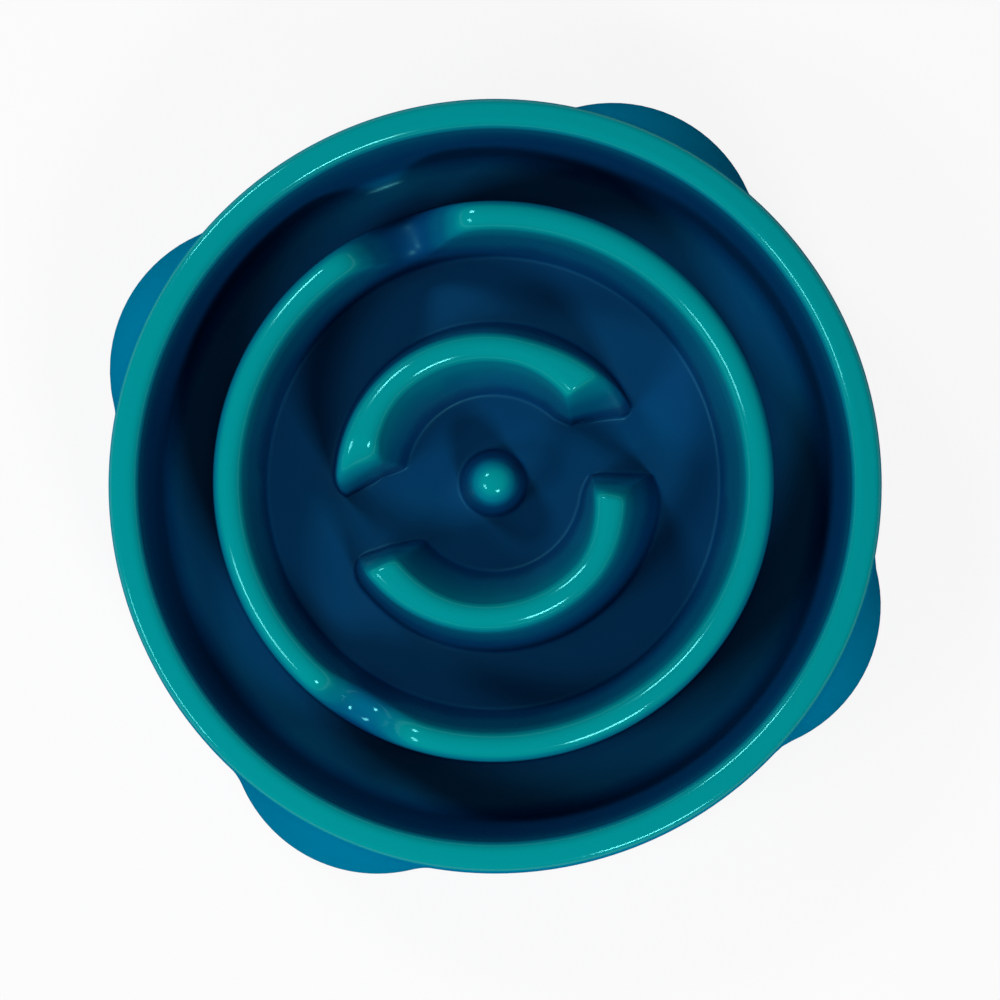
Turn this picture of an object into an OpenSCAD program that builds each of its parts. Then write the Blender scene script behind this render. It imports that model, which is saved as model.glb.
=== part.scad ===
// Slow feeder bowl: one hollow moulded shell with a maze of ridges, standing on four rubber grip feet.
// The origin is at the centre of the base, on the floor. +Z is up, and +X and +Y lie as seen from above.

/* [Bowl] */
// Overall height, from the floor to the top of the rim
bowl_h = 70; // [62:1:84]
// Outer diameter of the rim
rim_d = 276; // [268:1:300]
// Width of the rim, from its outer edge to the mouth
rim_w = 10.7; // [9.8:0.1:14]
// Radius that rounds the outer edge of the rim
rim_outer_r = 3; // [2.8:0.1:4]
// Radius that rounds the rim down into the mouth
rim_inner_r = 4; // [3:0.1:5]
// Depth of the bowl, from the top of the rim to the feeding floor
bowl_depth = 54; // [48:1:56]
// Slope of the inner wall, from upright
wall_draft = 5; // [3:0.5:8]
// Radius between the inner wall and the feeding floor
floor_fillet = 7; // [4:0.5:8]
// Thickness of the moulded wall
wall_t = 2.4; // [1.8:0.1:2.6]

/* [Skirt] */
// Flare of the skirt between the lobes, from upright
skirt_flare = 7; // [5:0.5:9]
// How far the tip of a lobe stands out past the rim, at the bottom
lobe_proud = 18.7; // [15:0.1:23]
// Radius of a lobe, at the bottom
lobe_r = 56.3; // [50:0.1:62]
// Flare of a lobe, from upright
lobe_flare = 16.8; // [16.5:0.1:20]
// Direction of the first lobe, in degrees from +X
lobe_angle = 63.7; // [45:0.1:80]

/* [Ring ridge] */
// Radius of the crest of the ring ridge
ring_r = 95.7; // [93:0.1:98]
// Drop from the top of the rim to the crest of the ring ridge
ring_drop = 8; // [6:0.5:14]
// Radius that rounds each side of the ring ridge's crest
ring_crest_r = 5.5; // [4.5:0.1:6.5]
// From the crest line of the ring ridge to its foot, on its inner side
ring_in_w = 10.6; // [9:0.1:12]
// From the crest line of the ring ridge to its foot, on its outer side
ring_out_w = 8.6; // [8:0.1:9.5]
// Drop of the first saddle in the ring ridge, at the back
saddle_1_drop = 28; // [10:0.5:30]
// Drop of the second saddle in the ring ridge, at the front left
saddle_2_drop = 13; // [8:0.5:28]

/* [Arc ridges] */
// Radius of the crest of the two arc ridges
arc_r = 48.8; // [47:0.1:51]
// Drop from the top of the rim to the crest of the arc ridges
arc_drop = 12; // [9:0.5:18]
// Radius that rounds each side of an arc ridge's crest
arc_crest_r = 5.6; // [4.5:0.1:6]
// From the crest line of an arc ridge to its foot, on its broad inner side
arc_in_w = 15.4; // [14:0.1:18]
// From the crest line of an arc ridge to its foot, on its outer side
arc_out_w = 11; // [10.4:0.1:12]
// How far the crests of the arc ridges are shifted to the left of their feet
arc_lean = 2.6; // [0:0.1:3]

/* [Knob] */
// Drop from the top of the rim to the top of the centre knob
knob_drop = 28; // [20:0.5:36]
// Radius of the round top of the centre knob
knob_top_r = 9.1; // [7:0.1:10]
// Radius of the centre knob at the floor
knob_w = 12.6; // [11:0.1:14]

/* [Grip feet] */
// How far the feet stand out below the skirt
foot_drop = 1.5; // [1:0.1:2.5]
// Width of a rubber foot
foot_w = 9; // [7:0.1:11]
// Depth of the pocket that holds a rubber foot
pocket_depth = 5.5; // [4:0.1:7]
// Half of the angle that a foot spans about the lobe's own centre
foot_half_angle = 33; // [24:0.5:36]
// Radius of the plugs that hold a foot
plug_r = 2; // [1.5:0.1:2.5]
// Gap between a foot and its pocket, on each side
foot_gap = 0.15; // [0.1:0.05:0.3]

/* [Hidden] */
$fn = 96;

// Colours of the plastic and the rubber
shell_colour = [0, 0.55, 0.57];
rubber_colour = [0.13, 0.14, 0.15];

// The maze sits a little off the rim's centre
maze_x_share = -0.004;
maze_y_share = 0.011;

// Saddles in the ring ridge, in degrees: where the crest starts down, is low, starts up and is level again
saddle_angles = [[93, 106, 112.5, 130], [226, 236, 243, 258]];

// Arc ridges, in degrees: where each starts and ends at the floor, the lengths of its two noses, and
// how far the outer foot runs on past the inner foot at each end
arc_span_angles = [[32, 178], [210, 364]];
arc_nose_angles = [[22, 9], [10, 22]];
arc_slant_angles = [[-8, 12], [-4, -2]];
arc_lean_angle = 190;

// Fineness of the lofted ridges on their outer face and on their hidden face: degrees between sections,
// sections on each ramp of a saddle, sections on a nose, and segments in the rounding of a crest's side
loft_angles = [5, 9];
ramp_counts = [7, 4];
nose_counts = [7, 4];
crest_counts = [4, 2];
// Segments in each rounding of the bowl's outline
rounding_count = 6;
// Largest rounding of a crest's side, as a share of the radius of a fully round crest
crest_round_share = 0.94;
// How far the hidden face of a saddle's ramp lies along from its outer face, as a share of the inset
saddle_lead_share = 0.6;
// Width of an arc ridge at the tip of its nose, as a share of its full width
nose_tip_share = 0.45;
// Head of a plug as a share of the plug's radius, place of a plug as a share of the foot's half angle,
// and rounding of a foot's edge as a share of its drop
plug_head_share = 1.6;
plug_angle_share = 0.6;
foot_round_share = 0.6;

// The loft of a ridge starts this far down in the floor, and cuts run on by this much
root_t = wall_t / 3;
overrun = 1;
tiny = 0.01;

floor_z = bowl_h - bowl_depth;
edge_z = foot_drop;
rim_r = rim_d / 2;
mouth_r = rim_r - rim_w;
maze_at = [maze_x_share * rim_d / 2, maze_y_share * rim_d / 2];

// Centres of the roundings that the outer skin and the inner skin share
outer_c = [rim_r - rim_outer_r, bowl_h - rim_outer_r];
inner_c = [mouth_r + rim_inner_r, bowl_h - rim_inner_r];
fillet_z = floor_z + floor_fillet;
wall_run = rim_inner_r + floor_fillet - sin(wall_draft) * (fillet_z - inner_c.y);
fillet_x = inner_c.x - wall_run / cos(wall_draft);

// Lobe cone: its axis, and the height at which it has run in under the rim
lobe_d = rim_r + lobe_proud - lobe_r;
lobe_top = bowl_h - rim_outer_r;
lobe_clip_r = (mouth_r + rim_r) / 2;
lobe_angles = [for (i = [0:3]) lobe_angle + 90 * i];

// Foot pocket, measured outwards from the lobe's axis at the bottom edge
pocket_out = lobe_r - wall_t / cos(lobe_flare);
pocket_in = pocket_out - foot_w - 2 * foot_gap;
pocket_roof = edge_z + pocket_depth;
pocket_half_angle = foot_half_angle + foot_gap / lobe_r * 180 / PI;
pocket_wall_angle = wall_t / lobe_r * 180 / PI;
plug_hole_r = plug_r + foot_gap / 2;
plug_head_r = plug_r * plug_head_share;
plug_angle = foot_half_angle * plug_angle_share;
plug_at = (pocket_in + pocket_out) / 2 - pocket_depth * tan(lobe_flare) / 2;
foot_round = foot_drop * foot_round_share;

// Points on an arc about c, from angle a to angle b
function arc_points(c, r, a, b, n) =
    [for (i = [0:n]) let (t = a + (b - a) * i / n) c + r * [cos(t), sin(t)]];
// Which face a surface is, by its inset: 0 for the outer face, 1 for the hidden face
function face(inset) = inset > 0 ? 1 : 0;
// Eases from 0 to 1 as x goes from 0 to 1
function ease(x) = let (t = min(1, max(0, x))) t * t * (3 - 2 * t);
// Rolls off slowly and then falls steeply, from 0 to 1 as x goes from 0 to 1
function roll_off(x) = ease(pow(max(0, x), 2));
// Quarter of an ellipse, from 0 to 1 as x goes from 0 to 1
function round_nose(x) = let (t = 1 - min(1, max(0, x))) sqrt(1 - t * t);
// Side slopes, from upright, of a ridge with a round crest: each side runs up from its foot and just
// touches the crest
function side_slopes(crest_h, crest_r, w) =
    [for (side = w) atan2(side, crest_h - crest_r) - asin(crest_r / norm([side, crest_h - crest_r]))];

// Outline of the space under the skin of the plain bowl, from the axis to the skirt. With an inset
// it is the hollow that the wall leaves, because all its roundings keep their centres.
function bowl_outline(inset, bottom_z) =
    let (
        flare = [cos(skirt_flare), sin(skirt_flare)],
        shoulder = outer_c + (rim_outer_r - inset) * flare,
        skirt_x = shoulder.x + (shoulder.y - bottom_z) * tan(skirt_flare)
    )
    concat(
        [[0, bottom_z], [skirt_x, bottom_z]],
        arc_points(outer_c, rim_outer_r - inset, skirt_flare, 90, rounding_count),
        arc_points(inner_c, rim_inner_r - inset, 90, 180 - wall_draft, rounding_count),
        arc_points([fillet_x, fillet_z], floor_fillet + inset, -wall_draft, -90, rounding_count),
        [[0, floor_z - inset]]
    );

// Cross-section of a ridge whose crest is crest_h above the floor: two sloped sides, with feet at
// -w[0] and w[1], and a crest whose two sides are rounded by crest_r, or by less where it is narrow.
// It is cut off at low_z and closed at root_z.
function ridge_section(crest_h, w, slopes, crest_r, inset, low_z, root_z) =
    let (
        c = [cos(slopes[0]), cos(slopes[1])],
        s = [sin(slopes[0]), sin(slopes[1])],
        round_h = (crest_h * (1 / c[0] + 1 / c[1]) - w[0] - w[1]) / ((1 - s[0]) / c[0] + (1 - s[1]) / c[1]),
        full_r = min(crest_r, (crest_h - round_h) * crest_round_share),
        cz = crest_h - full_r,
        x_in = (full_r + s[0] * cz) / c[0] - w[0],
        x_out = w[1] - (full_r + s[1] * cz) / c[1],
        r = full_r - inset,
        low_a = asin(min(1, max(-1, (low_z - cz) / r))),
        a_in = max(slopes[0], low_a),
        a_out = max(slopes[1], low_a),
        n = crest_counts[face(inset)],
        crest = concat(
            arc_points([x_in, cz], r, 180 - a_in, 90, n),
            arc_points([x_out, cz], r, 90, a_out, n)
        ),
        first = crest[0],
        last = crest[len(crest) - 1]
    )
    concat(
        [[first.x - (a_in > slopes[0] ? 0 : (first.y - root_z) * tan(slopes[0])), root_z]],
        crest,
        [[last.x + (a_out > slopes[1] ? 0 : (last.y - root_z) * tan(slopes[1])), root_z]]
    );

// Faces of a loft through m sections of p points each, closed into a ring or with two flat ends
function loft_faces(m, p, closed) = concat(
    [for (i = [0:m - (closed ? 1 : 2)]) for (j = [0:p - 1])
        let (
            k = (j + 1) % p,
            next = (i + 1) % m,
            a = i * p + j,
            b = i * p + k,
            c = next * p + j,
            d = next * p + k
        )
        each [[a, c, b], [b, c, d]]],
    closed ? [] : [[for (j = [0:p - 1]) j], [for (j = [p - 1:-1:0]) (m - 1) * p + j]]
);

// Directions from a to b in even steps of at most step, without b itself
function steps_between(a, b, step) =
    let (n = ceil((b - a) / step))
    [for (i = [0:n - 1]) a + (b - a) * i / n];

// Directions in which a saddle's ramps start and end. On the hidden face the saddle is a little longer,
// so that the wall keeps its thickness on the ramps.
function saddle_turns(k, inset) =
    let (lead = inset * saddle_lead_share / ring_r * 180 / PI)
    saddle_angles[k] + [-lead, -lead, lead, lead];

// How far the ring ridge's crest is down in a saddle, in direction a, as a part of the saddle's drop
function saddle_fall(a, turns) =
    roll_off((a - turns[0]) / (turns[1] - turns[0])) * roll_off((turns[3] - a) / (turns[3] - turns[2]));

// Height of the ring ridge's crest above the floor, in direction a
function ring_crest(a, inset) = bowl_depth - ring_drop
    - saddle_1_drop * saddle_fall(a, saddle_turns(0, inset))
    - saddle_2_drop * saddle_fall(a, saddle_turns(1, inset));

// Directions of the ring ridge's sections, closer together on the saddles' ramps
function ring_sections(inset) =
    let (
        side = face(inset),
        first = saddle_turns(0, inset),
        turns = [each first, each saddle_turns(1, inset), first[0] + 360]
    )
    [for (i = [0:len(turns) - 2])
        let (
            ramp = i % 2 == 0,
            run = turns[i + 1] - turns[i],
            step = ramp ? run / ramp_counts[side] : loft_angles[side]
        )
        each steps_between(turns[i], turns[i + 1], step)];

// Directions of an arc ridge's sections, closest together at the tips of its noses
function arc_sections(span, noses, side) =
    let (
        n = nose_counts[side],
        tips = [for (i = [0:n]) 1 - sin(90 * (n - i) / n)]
    )
    concat(
        [for (i = [0:n - 1]) span[0] + noses[0] * tips[i]],
        steps_between(span[0] + noses[0], span[1] - noses[1], loft_angles[side]),
        [for (i = [n:-1:0]) span[1] - noses[1] * tips[i]]
    );

// Outline of a ridge whose full crest height is full_h, where its crest has come down to crest_h and
// its width is a share of the full one
function ridge_outline(crest_h, w, full_h, crest_r, inset, width_share = 1) =
    let (
        low_z = -inset - root_t,
        root_z = inset > 0 ? low_z - root_t : low_z - root_t / 3
    )
    ridge_section(crest_h, w * width_share, side_slopes(full_h, crest_r, w), crest_r, inset, low_z, root_z);

// A ridge lofted round the maze's centre. Each section is given as its direction, the height of its crest,
// the shift of its crest outwards, its width as a share and its slant in degrees.
module ridge_loft(sections, r, w, full_h, crest_r, inset, closed) {
    point_count = 2 * crest_counts[face(inset)] + 4;
    points = [for (q = sections)
        for (v = ridge_outline(q[1], [w[0] + q[2], w[1] - q[2]], full_h, crest_r, inset, q[3]))
            let (a = q[0] + q[4] * (v.x / q[3] + q[2]) / (w[0] + w[1]))
            [(r + q[2] + v.x) * cos(a), (r + q[2] + v.x) * sin(a), v.y]];
    translate([maze_at.x, maze_at.y, floor_z])
        polyhedron(points, loft_faces(len(sections), point_count, closed), convexity = 6);
}

// Closed ridge between the two feeding channels, with two saddles that let food across
module ring_ridge(inset) {
    sections = [for (a = ring_sections(inset)) [a, ring_crest(a, inset), 0, 1, 0]];
    w = [ring_in_w, ring_out_w];
    ridge_loft(sections, ring_r, w, bowl_depth - ring_drop, ring_crest_r, inset, true);
}

// The two curved ridges round the centre pool. Their crests lean to one side of their feet, and their
// noses start a little under the floor. The hidden face starts further back, behind the noses' wall.
module arc_ridges(inset) {
    full_h = bowl_depth - arc_drop;
    back = inset / arc_r * 180 / PI;
    for (k = [0, 1]) {
        span = arc_span_angles[k] + [back, -back];
        noses = arc_nose_angles[k] - [back, back];
        sections = [for (a = arc_sections(span, noses, face(inset)))
            let (
                ends = [(a - span[0]) / noses[0], (span[1] - a) / noses[1]],
                rise = round_nose(min(ends)),
                slant = arc_slant_angles[k][0] * (1 - ease(ends[0] / 2))
                    + arc_slant_angles[k][1] * (1 - ease(ends[1] / 2))
            )
            [
                a,
                (full_h + root_t / 2) * rise - root_t / 2,
                arc_lean * cos(a - arc_lean_angle),
                nose_tip_share + (1 - nose_tip_share) * rise,
                slant
            ]];
        ridge_loft(sections, arc_r, [arc_in_w, arc_out_w], full_h, arc_crest_r, inset, false);
    }
}

// Round knob in the centre of the pool
module centre_knob(inset) {
    low_z = -inset - root_t;
    crest_h = bowl_depth - knob_drop;
    slopes = side_slopes(crest_h, knob_top_r, [knob_w, knob_w]);
    section = ridge_section(crest_h, [knob_w, knob_w], slopes, knob_top_r, inset, low_z, low_z);
    half = [for (q = section) if (q.x > tiny) q];
    translate([maze_at.x, maze_at.y, floor_z])
        rotate_extrude()
            polygon(concat([[0, low_z], [0, crest_h - inset]], half));
}

// Plain bowl, rim and skirt as one revolve
module bowl_form(inset) {
    rotate_extrude()
        polygon(bowl_outline(inset, inset > 0 ? edge_z - overrun : edge_z));
}

// The four lobes that flare the skirt out to the feet, kept outside the bowl's wall
module lobes(inset) {
    bottom_z = inset > 0 ? edge_z - overrun : edge_z;
    side = inset / cos(lobe_flare);
    bottom_r = lobe_r + (edge_z - bottom_z) * tan(lobe_flare) - side;
    top_r = lobe_r - (lobe_top - edge_z) * tan(lobe_flare) - side;
    for (a = lobe_angles) rotate(a)
        difference() {
            translate([lobe_d, 0, bottom_z])
                cylinder(h = lobe_top - bottom_z, r1 = bottom_r, r2 = top_r);
            translate([0, 0, bottom_z - overrun])
                cylinder(h = bowl_h, r = lobe_clip_r);
        }
}

// Curved bar about a lobe's axis: inner and outer radius at the bottom edge, sloped like the lobe outside
module lobe_bar(in_r, out_r, z0, z1, half_angle) {
    lean = tan(lobe_flare);
    translate([lobe_d, 0, 0])
        rotate(-half_angle)
            rotate_extrude(angle = 2 * half_angle)
                polygon([
                    [in_r, z0],
                    [out_r - (z0 - edge_z) * lean, z0],
                    [out_r - (z1 - edge_z) * lean, z1],
                    [in_r, z1]
                ]);
}

// Places its children at the two plugs of a foot
module at_plugs(z) {
    translate([lobe_d, 0, 0])
        for (a = [-plug_angle, plug_angle]) rotate(a)
            translate([plug_at, 0, z])
                children();
}

// Block under a lobe that the foot's pocket is cut into
module pocket_blocks() {
    half_angle = pocket_half_angle + pocket_wall_angle;
    for (a = lobe_angles) rotate(a)
        lobe_bar(pocket_in - wall_t, lobe_r - wall_t / 2, edge_z, pocket_roof + wall_t, half_angle);
}

// The pockets, with the holes that the plugs snap through
module pocket_cuts() {
    for (a = lobe_angles) rotate(a) {
        lobe_bar(pocket_in, pocket_out, edge_z - overrun, pocket_roof, pocket_half_angle);
        at_plugs(pocket_roof - overrun)
            cylinder(h = wall_t + 2 * overrun, r = plug_hole_r);
    }
}

module bowl_shell() {
    color(shell_colour)
        difference() {
            union() {
                difference() {
                    union() {
                        bowl_form(0);
                        lobes(0);
                        ring_ridge(0);
                        arc_ridges(0);
                        centre_knob(0);
                    }
                    bowl_form(wall_t);
                    lobes(wall_t);
                    ring_ridge(wall_t);
                    arc_ridges(wall_t);
                    centre_knob(wall_t);
                }
                pocket_blocks();
            }
            pocket_cuts();
        }
}

// Rubber foot: a curved pad in the pocket, held by two plugs with heads above the pocket's roof
module grip_foot(turn) {
    in_r = pocket_in + foot_gap;
    out_r = pocket_out - foot_gap;
    color(rubber_colour)
        rotate(turn) {
            lobe_bar(in_r, out_r, edge_z, pocket_roof, foot_half_angle);
            translate([lobe_d, 0, 0])
                rotate(-foot_half_angle)
                    rotate_extrude(angle = 2 * foot_half_angle)
                        polygon([
                            [in_r + foot_round, 0],
                            [out_r - foot_round, 0],
                            [out_r, edge_z],
                            [in_r, edge_z]
                        ]);
            at_plugs(pocket_roof - foot_gap)
                cylinder(h = wall_t + 2 * foot_gap, r = plug_r);
            at_plugs(pocket_roof + wall_t)
                cylinder(h = plug_r, r1 = plug_head_r, r2 = plug_r);
        }
}

bowl_shell();
grip_foot(lobe_angles[0]);  // grip_foot_back_right
grip_foot(lobe_angles[1]);  // grip_foot_back_left
grip_foot(lobe_angles[2]);  // grip_foot_front_left
grip_foot(lobe_angles[3]);  // grip_foot_front_right
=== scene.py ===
"""Slow feeder bowl: one moulded shell with a maze of ridges, on four rubber grip feet.

All shapes are worked out in millimetres, with the origin at the centre of the base on the floor and
+Z up, and put into the meshes in metres. The shell is one closed skin: a grid of directions round
the bowl by stations along a meridian, which runs from the top of the knob out over the maze, the
wall, the rim and the skirt, round the bottom edge and back along the hidden side of the same wall.
"""

import math

import bpy
import numpy as np
from mathutils import Matrix, Vector


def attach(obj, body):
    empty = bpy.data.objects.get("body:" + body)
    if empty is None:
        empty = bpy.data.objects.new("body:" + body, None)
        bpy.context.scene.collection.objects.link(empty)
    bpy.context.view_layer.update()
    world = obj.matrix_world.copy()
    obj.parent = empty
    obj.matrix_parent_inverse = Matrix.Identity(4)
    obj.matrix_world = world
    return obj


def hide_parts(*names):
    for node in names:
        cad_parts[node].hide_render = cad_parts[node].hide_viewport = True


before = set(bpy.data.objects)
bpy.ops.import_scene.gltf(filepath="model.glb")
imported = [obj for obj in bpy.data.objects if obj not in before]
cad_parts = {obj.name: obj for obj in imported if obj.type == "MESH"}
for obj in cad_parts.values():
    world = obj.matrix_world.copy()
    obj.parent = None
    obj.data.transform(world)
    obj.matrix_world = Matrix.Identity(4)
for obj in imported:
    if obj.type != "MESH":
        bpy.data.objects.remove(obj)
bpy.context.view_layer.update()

MM = 0.001
DEG = math.pi / 180

# Sizes of the bowl and its skirt, in millimetres and degrees
BOWL_H = 70.0
RIM_R = 138.0
RIM_W = 10.7
RIM_OUTER_R = 3.0
RIM_INNER_R = 4.0
FLOOR_Z = 16.0
WALL_DRAFT = 5.0
FLOOR_FILLET = 7.0
WALL_T = 2.4
EDGE_Z = 1.5
SKIRT_FLARE = 7.0
LOBE_R = 56.3
LOBE_D = RIM_R + 18.7 - LOBE_R
LOBE_FLARE = 16.8
LOBE_ANGLES = (63.7, 153.7, 243.7, 333.7)
# How far the crease between lobe and skirt is rounded, how far under the rim's rounding a lobe starts,
# and over what height it comes out in full
LOBE_BLEND = 2.0
LOBE_START = 1.0
LOBE_RUN = 8.0

# The maze: its centre, the rounding at the foot of its ridges, and its ring ridge with two saddles.
# A saddle has the directions where the crest starts down, is low, starts up and is level again.
MAZE_AT = (-0.552, 1.518)
FOOT_FILLET = 1.6
FOOT_MARGIN = 0.3
CREST_ROUND_SHARE = 0.94
RING_R = 95.7
RING_H = 46.0
RING_CREST_R = 5.5
RING_IN_W = 10.6
RING_OUT_W = 8.6
SADDLE_DROPS = (28.0, 13.0)
SADDLE_ANGLES = ((92.0, 106.0, 112.5, 130.0), (226.0, 236.0, 243.0, 258.0))
SADDLE_LEAD_SHARE = 0.6
SADDLE_SOFT = 3.6

# The two arc ridges. Their crest lines lie ARC_LEAN off towards ARC_LEAN_ANGLE, between feet that
# stay where they are, and the second is ARC_MORE_OUT_W wider outside. Each table has a row for each
# ridge, with a value or a pair of values for each of its two tips, and directions and lengths along
# the ridge are in degrees: where the tip is, how long its nose is and of what form, how far round its
# outer foot lies from its inner foot, what shares of the inner and outer width are left at the tip,
# over what length they narrow to it, and by what share the inner and outer side stand steeper, or
# with a minus less steep. The slant and the steeper sides start SLANT_REACH and STEEP_REACH before
# the tip, and the slant lies in NOSE_SLANT_SHARE of the width. Below NOSE_LOW_H a nose is run out
# into the floor.
ARC_R = 48.8
ARC_H = 42.0
ARC_CREST_R = 5.6
ARC_IN_W = 15.4
ARC_OUT_W = 11.0
ARC_LEAN = 2.6
ARC_LEAN_ANGLE = 190.0
ARC_MORE_OUT_W = 3.2
ARC_SPANS = ((30.5, 182.5), (210.5, 364.0))
ARC_NOSES = ((18.0, 21.0), (8.5, 14.0))
NOSE_FORMS = (((1.5, 1.0, 0.0), (5.0, 2.0, 0.2)), ((2.0, 2.0, 0.0), (2.2, 1.3, 0.0)))
ARC_SLANTS = ((-8.0, 10.5), (-4.0, -2.0))
SLANT_REACH = 30.0
NOSE_SLANT_SHARE = 0.6
TIP_SHARES = (((0.74, 0.90), (0.58, 0.28)), ((0.55, 0.60), (0.74, 0.78)))
TIP_ROUNDS = ((18.0, 9.0), (8.5, 14.0))
TIP_ROUND_FORM = (2.0, 1.0, 0.0)
TIP_STEEPER = (((0.31, 0.50), (0.30, 0.10)), ((0.12, 0.12), (0.70, -0.25)))
STEEP_REACH = 50.0
NOSE_LOW_H = 2.0

KNOB_H = 26.0
KNOB_TOP_R = 9.1
KNOB_W = 12.6

# The rubber feet and their pockets, with the feet's nodes in the order of the lobes. A foot's ends
# close in on a point FOOT_END_SHIFT inside its middle, and PLUG_HEAD has the points of a plug's head,
# as radius and height above the pocket's roof.
FOOT_NODES = ("grip_foot_back_right", "grip_foot_back_left",
              "grip_foot_front_left", "grip_foot_front_right")
FOOT_W = 9.0
POCKET_DEPTH = 5.5
FOOT_HALF_ANGLE = 33.0
FOOT_ROUND_R = 1.1
FOOT_END_SHIFT = 0.6
FOOT_GAP = 0.15
GROOVE_PITCH = 3.8
GROOVE_W = 0.75
GROOVE_DEPTH = 0.55
PLUG_R = 2.0
PLUG_HEAD = ((0.0, 2.0), (1.2, 1.95), (1.8, 1.7), (2.4, 1.1), (3.1, 0.35), (3.2, 0.15), (3.05, 0.0))
PLUG_ROOT = 0.5
PLUG_AT_SHARES = (-0.6, 0.6)

# Directions of the rows, in degrees: the steps of the even ones and of those on the saddles' ramps,
# the least gaps at the tips, on the ramps and elsewhere, the number at each tip on the shown and the
# hidden skin, and how far inside each tip one more row stands
EVEN_STEP = 1.5
RAMP_STEP = 0.6
ROW_GAPS = (0.03, 0.3, 0.6)
TIP_ROWS = (8, 4)
TIP_INSIDE = 0.04
# Stations on the shown skin and on the hidden skin: along a rounding at a ridge's foot, inside a
# slope, over each side of a crest, over the flat between them, over each side of the knob's dome,
# over a floor, and along the wall's and skirt's parts
SHOWN = {"fillet": 4, "slope": 3, "crest": 6, "flat": 1, "dome": 7,
         "floor": 3, "wall": 5, "round": 8, "skirt": 20}
HIDDEN = {"fillet": 2, "slope": 1, "crest": 3, "flat": 1, "dome": 4,
          "floor": 1, "wall": 3, "round": 4, "skirt": 8}
EDGE_STATIONS = 6

# How the share of open sky is summed: the number of directions and of bands of elevation that are
# looked in, the distances looked at, the step and reach of the height map, the height of the horizon
# before anything is seen, and its softness, in radians
SKY_DIRECTIONS = 20
SKY_BANDS = 9
SKY_DISTANCES = (1.5, 3, 5, 7, 9, 12, 15, 18, 22, 26, 31, 37, 44, 52, 62, 76, 94, 120)
MAP_STEP = 0.5
MAP_REACH = 172.0
LOWEST_HORIZON = -1.5
HORIZON_SOFT = 0.17
# Share of open sky that the skin's hidden side is coloured for, and how far the colours run into
# each other on the shown side
HIDDEN_SKY = 0.45
SKY_SPREAD = 3.2
# Painted shade: part of the share which is left on the floor inside the ring ridge, on the outer wall and
# in the saddles, which darkens the colour there, and the height above the floor where it is whole again
FLOOR_SHADE = 0.45
WALL_SHADE = 0.60
SADDLE_SHADES = (0.34, 0.56)
SHADE_H = 16.0
# For one interpolation over many rows: how far apart the rows' places are put, and the least step
# that keeps the places of a row rising
LANE_W = 1000.0
LEAST_STEP = 1e-6

# Angle over which a crease between two faces is sharp, and the share of the sky by which the
# plastic's flow marks shift its colour
SHARP_ANGLE = 50.0
FLOW_SHARE = 0.05
# Colours of the plastic by the share of open sky that a point sees, which is painted shade: teal where the
# sky is open, darkening through blue on the slopes and the skirt to deep blue in the channels; and of the
# rubber, from clean to dusty
INSIDE_PAINTED_SHADE = (
    (0.00, (0.000, 0.014, 0.080)),
    (0.20, (0.000, 0.040, 0.135)),
    (0.42, (0.000, 0.104, 0.210)),
    (0.64, (0.000, 0.186, 0.262)),
    (0.84, (0.000, 0.262, 0.274)),
)
SKIRT_PAINTED_SHADE = (
    (0.00, (0.000, 0.010, 0.070)),
    (0.30, (0.000, 0.070, 0.220)),
    (0.55, (0.000, 0.180, 0.350)),
    (0.66, (0.000, 0.198, 0.350)),
    (0.84, (0.000, 0.262, 0.274)),
)
RUBBER_COLOURS = (
    (0.10, (0.010, 0.011, 0.013)),
    (0.30, (0.022, 0.024, 0.027)),
    (0.60, (0.075, 0.078, 0.080)),
)

# The lamps: direction in degrees, width in metres, and share of the floor's light
SOFTBOXES = ((133.0, 0.26, 0.28), (208.0, 0.38, 0.28), (295.0, 0.26, 0.36))


def ease(x):
    """Runs smoothly from 0 to 1 as x does: t * t * (3 - 2 t), with t held between 0 and 1."""
    t = np.clip(x, 0.0, 1.0)
    return t * t * (3.0 - 2.0 * t)


def roll_off(x):
    """Runs from 0 to 1 as x does, slowly at first and then steeply: ease of x squared."""
    return ease(np.maximum(x, 0.0) ** 2)


def nose_rise(x, form):
    """Rise of a nose from 0 to 1 as x goes from 0 to 1, for the form (a, b, dip).

    1 - (1 - x) to the power a, all to the power 1 / b, times 1 - dip times (1 - x) to the power 1.3:
    (2, 2, 0) is a quarter of an ellipse, and (1.5, 1, 0) a nearly straight ramp.
    """
    (a, b, dip), left = form, 1.0 - np.clip(x, 0.0, 1.0)
    return (1.0 - left ** a) ** (1.0 / b) * (1.0 - dip * left ** 1.3)


def smooth_max(a, b, width):
    """The larger of a and b, with the crease between them rounded where they differ by under width."""
    near = np.clip(1.0 - np.abs(a - b) / width, 0.0, 1.0)
    return np.maximum(a, b) + near * near * width / 4.0


def arc(cx, cz, radius, start, end, count):
    """Points on a circle from angle start to angle end, in degrees, with count steps."""
    t = np.linspace(start, end, count + 1) * DEG
    return cx + radius * np.cos(t), cz + radius * np.sin(t)


def polar(radius, angle, z, centre=(0.0, 0.0)):
    """Points at a radius, an angle in degrees and a height, about an upright axis through centre."""
    x, y = centre[0] + radius * np.cos(angle * DEG), centre[1] + radius * np.sin(angle * DEG)
    return np.stack([x, y, np.broadcast_to(z, x.shape)], axis=-1)


def bridge(a, b, count):
    """count columns of points, evenly spaced on straight lines between the columns a and b."""
    u = np.linspace(0.0, 1.0, count + 2)[1:-1][None, :, None]
    return a[:, -1:] * (1 - u) + b[:, :1] * u


def side_slope(crest_h, crest_r, w):
    """Angle from upright, in radians, of a side that starts at its foot, w from the crest line, and
    just touches a crest circle of radius crest_r whose top is at crest_h."""
    drop = crest_h - crest_r
    return np.arctan2(w, drop) - np.arcsin(crest_r / np.hypot(w, drop))


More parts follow.
